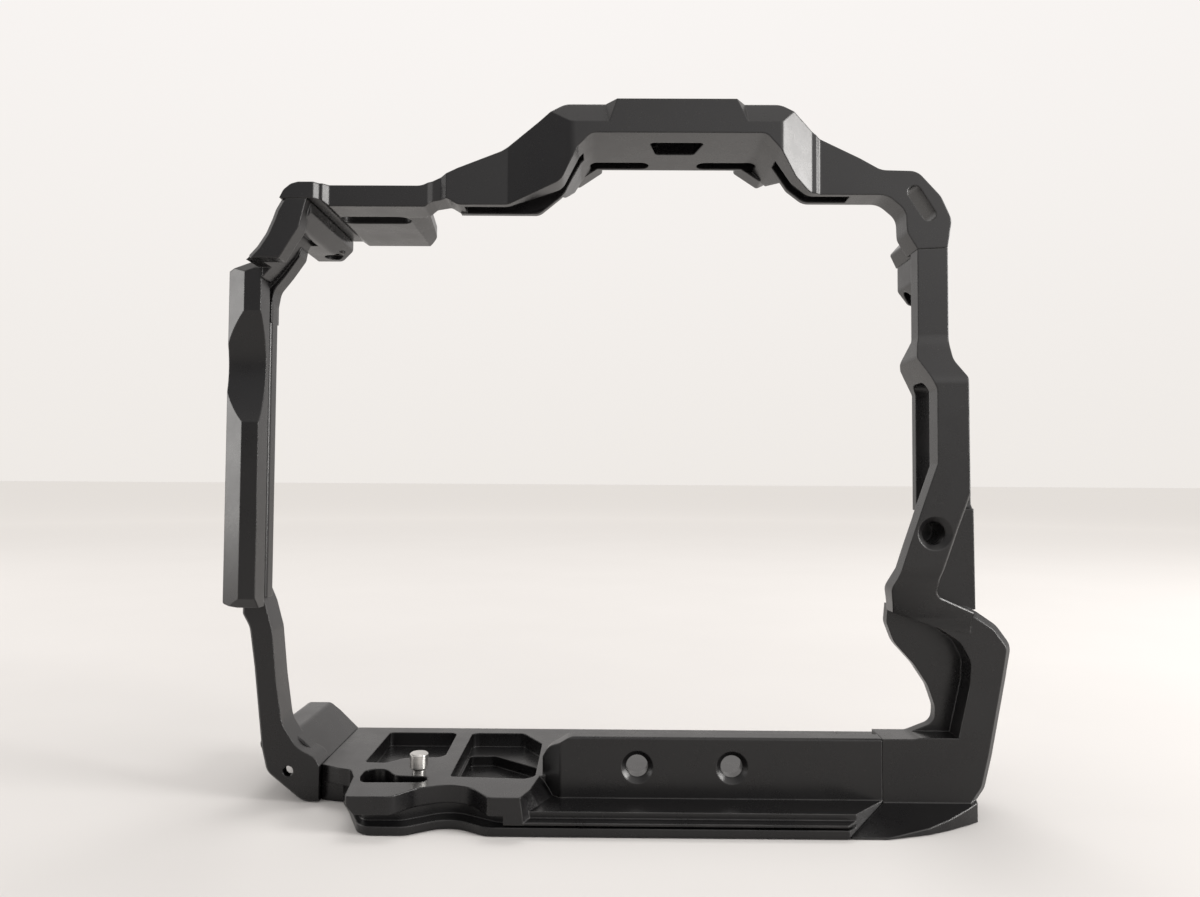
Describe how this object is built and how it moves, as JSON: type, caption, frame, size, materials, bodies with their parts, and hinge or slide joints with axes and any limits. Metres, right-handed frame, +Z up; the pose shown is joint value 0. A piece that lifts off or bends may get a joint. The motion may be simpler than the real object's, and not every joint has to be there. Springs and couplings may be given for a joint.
{
  "type": "camera cage",
  "caption": "Bolted metal frame around a camera with a vertical grip, with a dovetail base, accessory rail, threaded holes and captive camera screw.",
  "frame": {"origin": "middle of the bounding box at the bottom of the base plate", "axes": "+X to the right seen from the front, +Y from the front to the back, +Z up towards the viewfinder hump"},
  "size_m": [0.1901, 0.054, 0.1675],
  "materials": {
    "black_anodised": "black anodised, satin",
    "steel": "turned stainless",
    "black_steel": "black oxide"
  },
  "bodies": {
    "cage": {"top_frame": "black_anodised", "left_arm": "black_anodised", "accessory_rail": "black_anodised", "right_arm": "black_anodised", "base_plate": "black_anodised", "locating_pin": "steel", "top_left_dowels": "steel", "top_right_dowels": "steel", "top_left_screws": "black_steel", "top_right_screws": "black_steel", "bottom_left_screws": "black_steel", "bottom_right_screws": "black_steel", "rail_screws": "black_steel"},
    "ring": {"retaining_ring": "steel"},
    "screw": {"camera_screw": "steel"}
  },
  "joints": [
    {"name": "screw_travel", "type": "slide", "parent": "cage", "child": "ring", "axis": [0, 0, 1], "range_m": [0, 0.00127]},
    {"name": "screw_turn", "type": "hinge", "parent": "ring", "child": "screw", "pos_m": [0.0152, 0.006, 0.005], "axis": [0, 0, 1], "range_deg": [0, 360]}
  ],
  "couplings": [
    {"joint": "screw_travel", "follows": "screw_turn", "m_per_rad": 0.00020213}
  ]
}
